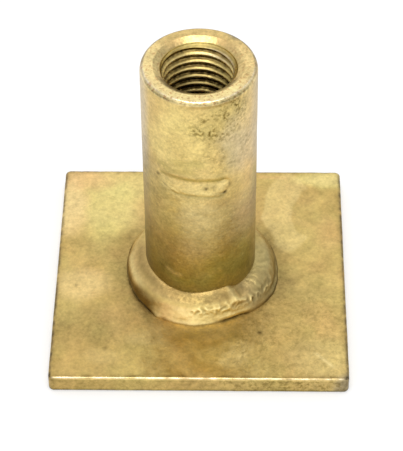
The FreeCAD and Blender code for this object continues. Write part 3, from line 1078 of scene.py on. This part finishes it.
# %% Marks of the tube
# Strength, angle and height of the middle, half width and half height
WALL_PATCHES = {
    # The lemon patch at 262 degrees, 17 mm up, and the bare patch paint a small highlight at the tube's foot
    "lemon": ((0.45, 252, 66, 8, 9), (0.6, 262, 17, 9, 1.2), (0.5, 322, 24, 3, 5)),
    "salmon": ((0.35, 328, 62, 5, 12), (0.2, 322, 42, 4, 7)),
    "bare_and_highlight": ((0.4, 247, 19.5, 2.2, 0.9),),
    # A painted sheen high on the tube's right side
    "painted_highlight": ((0.11, 322, 65, 6, 12),),
    "brown": ((0.25, 211, 57, 3, 4), (0.2, 222, 72, 2.5, 4)),
    "olive": (
        (0.24, 316, 23, 7, 8),
        (0.12, 272, 18, 11, 4),
        (0.4, 246, 56.8, 5, 1.6),
        (0.35, 257, 60, 4, 1.6),
    ),
    "grey": ((0.42, 310, 63, 5, 9),),
    "shade_and_stain": ((0.14, 211, 57, 3, 4),),
}
# Strength, angle and height, and size where it isn't 0.6
WALL_SPOTS = {
    "dark": ((0.8, 277.5, 50.6), (0.65, 225.3, 52.4), (0.75, 297.0, 48.2)),
    "pale": ((0.3, 295.0, 51.0, 1.5),),
}

tube_marks = {
    "lemon": 0.25 * scar_band + 0.3 * inside_mouth * (1 - shaded_roots) + 0.8 * rim_back,
    "salmon": 0.5 * on_face,
    "pale": 0.36 * upper_half + 0.8 * middle * lower_half + 0.28 * scar_band + 0.3 * first_crest_glint,
    "bare_and_highlight": rim_face_lit_front + 0.9 * lit_crests,
    "painted_highlight": (0.38 * left_edge_sheen + 0.16 * right_edge_sheen) * upper_half
    + 0.8 * rim_glint
    + 0.7 * first_crest_glint * smooth_step(0.0, 5.0, tube_x),
    "brown": (0.15 * left_side + 0.05 * right_side) * lower_half
    + 0.27 * left_side * foot
    + 0.5 * under_rim_shade
    + 0.6 * rim_shade
    + 0.35 * front_chamfer
    + 0.15 * shaded_left_chamfer,
    "olive": 0.4 * foot
    + 0.16 * lower_half
    + 0.35 * upper_edge_shade
    + 0.25 * shade_above_edge
    + 0.3 * lower_line
    + 0.25 * pitted,
    "grey": left_edge_sheen * (0.2 + 0.16 * upper_half)
    + right_edge_sheen * (0.1 + 0.28 * upper_half)
    + 0.25 * grey_right
    + 0.8 * rim_stain,
    "dark": scar_lines
    + 0.6 * rim_line
    + shaded_roots * (0.36 + 0.44 * specks)
    + 0.25 * specks * depth * (1 - lit_crests)
    + 0.75 * depth,
    "shade_and_stain": 0.22 * lower_wall_shade
    + 0.1 * front_stripe * foot
    + 0.35 * left_side * hump(50.0, 7.0, bend_z)
    + right_edge_sheen * (0.03 + 0.06 * hump(56.0, 6.0, bend_z))
    + 0.06 * chamfer
    + 0.08 * front_chamfer
    + 0.4 * shaded_left_chamfer
    + 0.22 * rim_back
    + 0.5 * rim_stain
    + 0.85 * rim_shade,
    "pitted": pitted
    + 0.04 * upper_half
    + 0.2 * middle
    + on_face * (0.15 + 0.2 * smooth_step(8.0, 12.0, tube_x)),
    "faced": on_face * (1 - 0.6 * chamfer) + 0.8 * inside_mouth,
}
add_listed(tube_marks, WALL_PATCHES, wall_patch)
add_listed(tube_marks, WALL_SPOTS, wall_spot)
keep_marks(tube, tube_marks)

# %% Finish the tube
COPPER = screen_colour(194, 136, 86)
FLECK_STRENGTH = 0.62

tube_film = drifting_film("tube_plating", 40.0, blotches=0.74, grain=1.15)
flecks = tube_film.times(tube_film.mark("bare_and_highlight"), tube_film.cloud(0.9 * MM, 0.52, 0.64, 3.0))
tube_film.tint(flecks, COPPER, FLECK_STRENGTH)
tube.data.materials.append(tube_film.close(smooth=0.38, rough=0.5, faced=0.28))

# %% [markdown]
# ## Finish of the weld
# Weld metal is smooth between its ripples, so the film on it is brighter than on the plate. On the left a
# painted highlight runs along the crest, with painted shade on the flank and by the tube. In front the ledge
# is painted darker and the flank is warm gold with a painted highlight, and on the right the ripples are
# greyer and painted darker. Painted shade lines the toe. Hollows get painted shade and ridges a painted
# highlight, both read off the shape that was added.

# %% Places on the weld
on_weld = piece_points(weld)
weld_out = np.hypot(on_weld[:, 0], on_weld[:, 1]) - tube_radius
weld_climb = np.arctan2(on_weld[:, 2] - plate_top, weld_out) / (math.pi / 2)
weld_deg = np.degrees(np.arctan2(on_weld[:, 1], on_weld[:, 0])) % 360


def arc_of(first, last, soft):
    """Share that is 1 on the weld between two angles round the tube and 0 beyond a soft margin."""
    apart = np.abs((weld_deg - (first + last) / 2 + 180) % 360 - 180)
    return smooth_step((last - first) / 2 + soft, (last - first) / 2 - soft, apart)


print("weld", len(on_weld), "points")

# %% Hollows and ridges of the weld
SOFTEN_ROUNDS = 14
FULL_HOLLOW = 0.1


def soften(grid, rounds):
    """Grid of the bead with each value blended into its neighbours, round the tube and over the crown."""
    for _ in range(rounds):
        grid = (np.roll(grid, 1, axis=1) + 2 * grid + np.roll(grid, -1, axis=1)) / 4
        padded = np.vstack([grid[:1], grid, grid[-1:]])
        grid = (padded[:-2] + 2 * grid + padded[2:]) / 4
    return grid


weld_row = np.rint((weld_climb - RISE_MARGIN) / (1.0 - 2 * RISE_MARGIN) * (BEAD_ROWS - 1))
weld_row = np.clip(weld_row, 0, BEAD_ROWS - 1).astype(int)
weld_column = np.rint(weld_deg / 360.0 * BEAD_COLUMNS).astype(int) % BEAD_COLUMNS
hollows = (soften(added, SOFTEN_ROUNDS) - added)[weld_row, weld_column]
# Painted shade in the hollows and painted highlights on the ridges, read off the added shape
shaded_crease = np.clip(hollows / FULL_HOLLOW, 0.0, 1.0)
lit_ridge = np.clip(-hollows / FULL_HOLLOW, 0.0, 1.0)
print("ridges and hollows from", round(float(hollows.min()), 2), "to", round(float(hollows.max()), 2), "mm")

# %% Finish the weld
# Strength, part of the bead, first and last angle, and softness in degrees
WELD_ARCS = {
    "salmon": ((0.5, "flank", 236, 266, 8), (0.15, "shelf", 165, 250, 12)),
    # Painted highlight on the front flank, and on the lip of the step where the run stops
    "pale": ((0.6, "flank", 248, 300, 10),),
    "lemon": ((0.2, "flank", 252, 300, 10),),
    "bare_and_highlight": ((0.4, "shelf", 298, 303, 3),),
    # Painted shade on the left flank
    "brown": ((0.45, "flank", 165, 230, 10),),
    # On the right the bead is greyer and olive, with painted shade; painted shade also lines the toe
    "olive": ((0.25, "whole", 318, 400, 10),),
    "grey": ((0.25, "whole", 310, 380, 10), (0.06, "shelf", 170, 290, 12)),
    "dark": ((0.55, "toe", 150, 233, 6), (0.5, "toe", 286, 311, 5), (0.25, "toe", 325, 400, 8)),
    "shade_and_stain": ((0.22, "whole", 312, 395, 8),),
}

bead_parts = {
    "whole": 1.0,
    "toe": smooth_step(0.12, 0.03, weld_climb),
    "flank": smooth_step(0.6, 0.45, weld_climb),
    "shelf": smooth_step(0.55, 0.7, weld_climb),
}


def part_arc(part, first, last, soft):
    """Share that is 1 on one part of the bead between two angles."""
    return bead_parts[part] * arc_of(first, last, soft)


foil_height = 0.5 - 0.12 * smooth_step(303.0, 314.0, weld_deg)
on_foil = hump(foil_height, 0.15, weld_climb) * arc_of(264, 340, 8)
# Left arm: a painted highlight along the crest, painted shade on the flank and by the tube
left_crest_highlight = hump(0.53, 0.14, weld_climb) * arc_of(176, 214, 8)
shaded_left_flank = part_arc("flank", 160, 232, 8) * (1 - left_crest_highlight)
ledge_shade = smooth_step(0.62, 0.76, weld_climb) * arc_of(232, 305, 16)
shade_by_the_tube = smooth_step(0.7, 0.88, weld_climb) * arc_of(168, 236, 14)
crater = part_arc("shelf", 309, 324, 6)
weld_marks = {
    "pale": 0.8 * left_crest_highlight,
    "lemon": 0.3 * lit_ridge,
    "bare_and_highlight": 0.9 * lit_ridge * on_foil,
    "brown": 0.25 * ledge_shade + 0.3 * shaded_crease * on_foil + 0.2 * shade_by_the_tube + 0.2 * crater,
    "olive": 0.3 * shaded_crease,
    # Painted shade along the whole toe
    "dark": 0.3 * bead_parts["toe"] + 0.1 * shaded_crease,
    "shade_and_stain": 0.68 * shaded_left_flank
    + 0.66 * ledge_shade
    + 0.3 * on_foil * (1 - lit_ridge)
    + 0.26 * shade_by_the_tube
    + 0.25 * crater,
}
add_listed(weld_marks, WELD_ARCS, part_arc)
keep_marks(weld, weld_marks)
weld_film = drifting_film("weld_plating", 80.0, blotches=0.6, grain=0.6)
weld.data.materials.append(weld_film.close(smooth=0.36, rough=0.46, faced=0.3))

# %% [markdown]
# ## Tie the skins to the CAD model
# Nothing on the insert moves, so every skin rides on the one body. Each stands for the CAD solid of the same
# piece, which is then hidden.

# %% Tie each skin to its solid
for piece, node, slot in (
    (plate, "base_plate", "plate_plating"),
    (tube, "socket_tube", "tube_plating"),
    (weld, "weld_bead", "weld_plating"),
):
    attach(piece, "root")
    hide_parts(node)
    print(piece.name, "stands for", node)
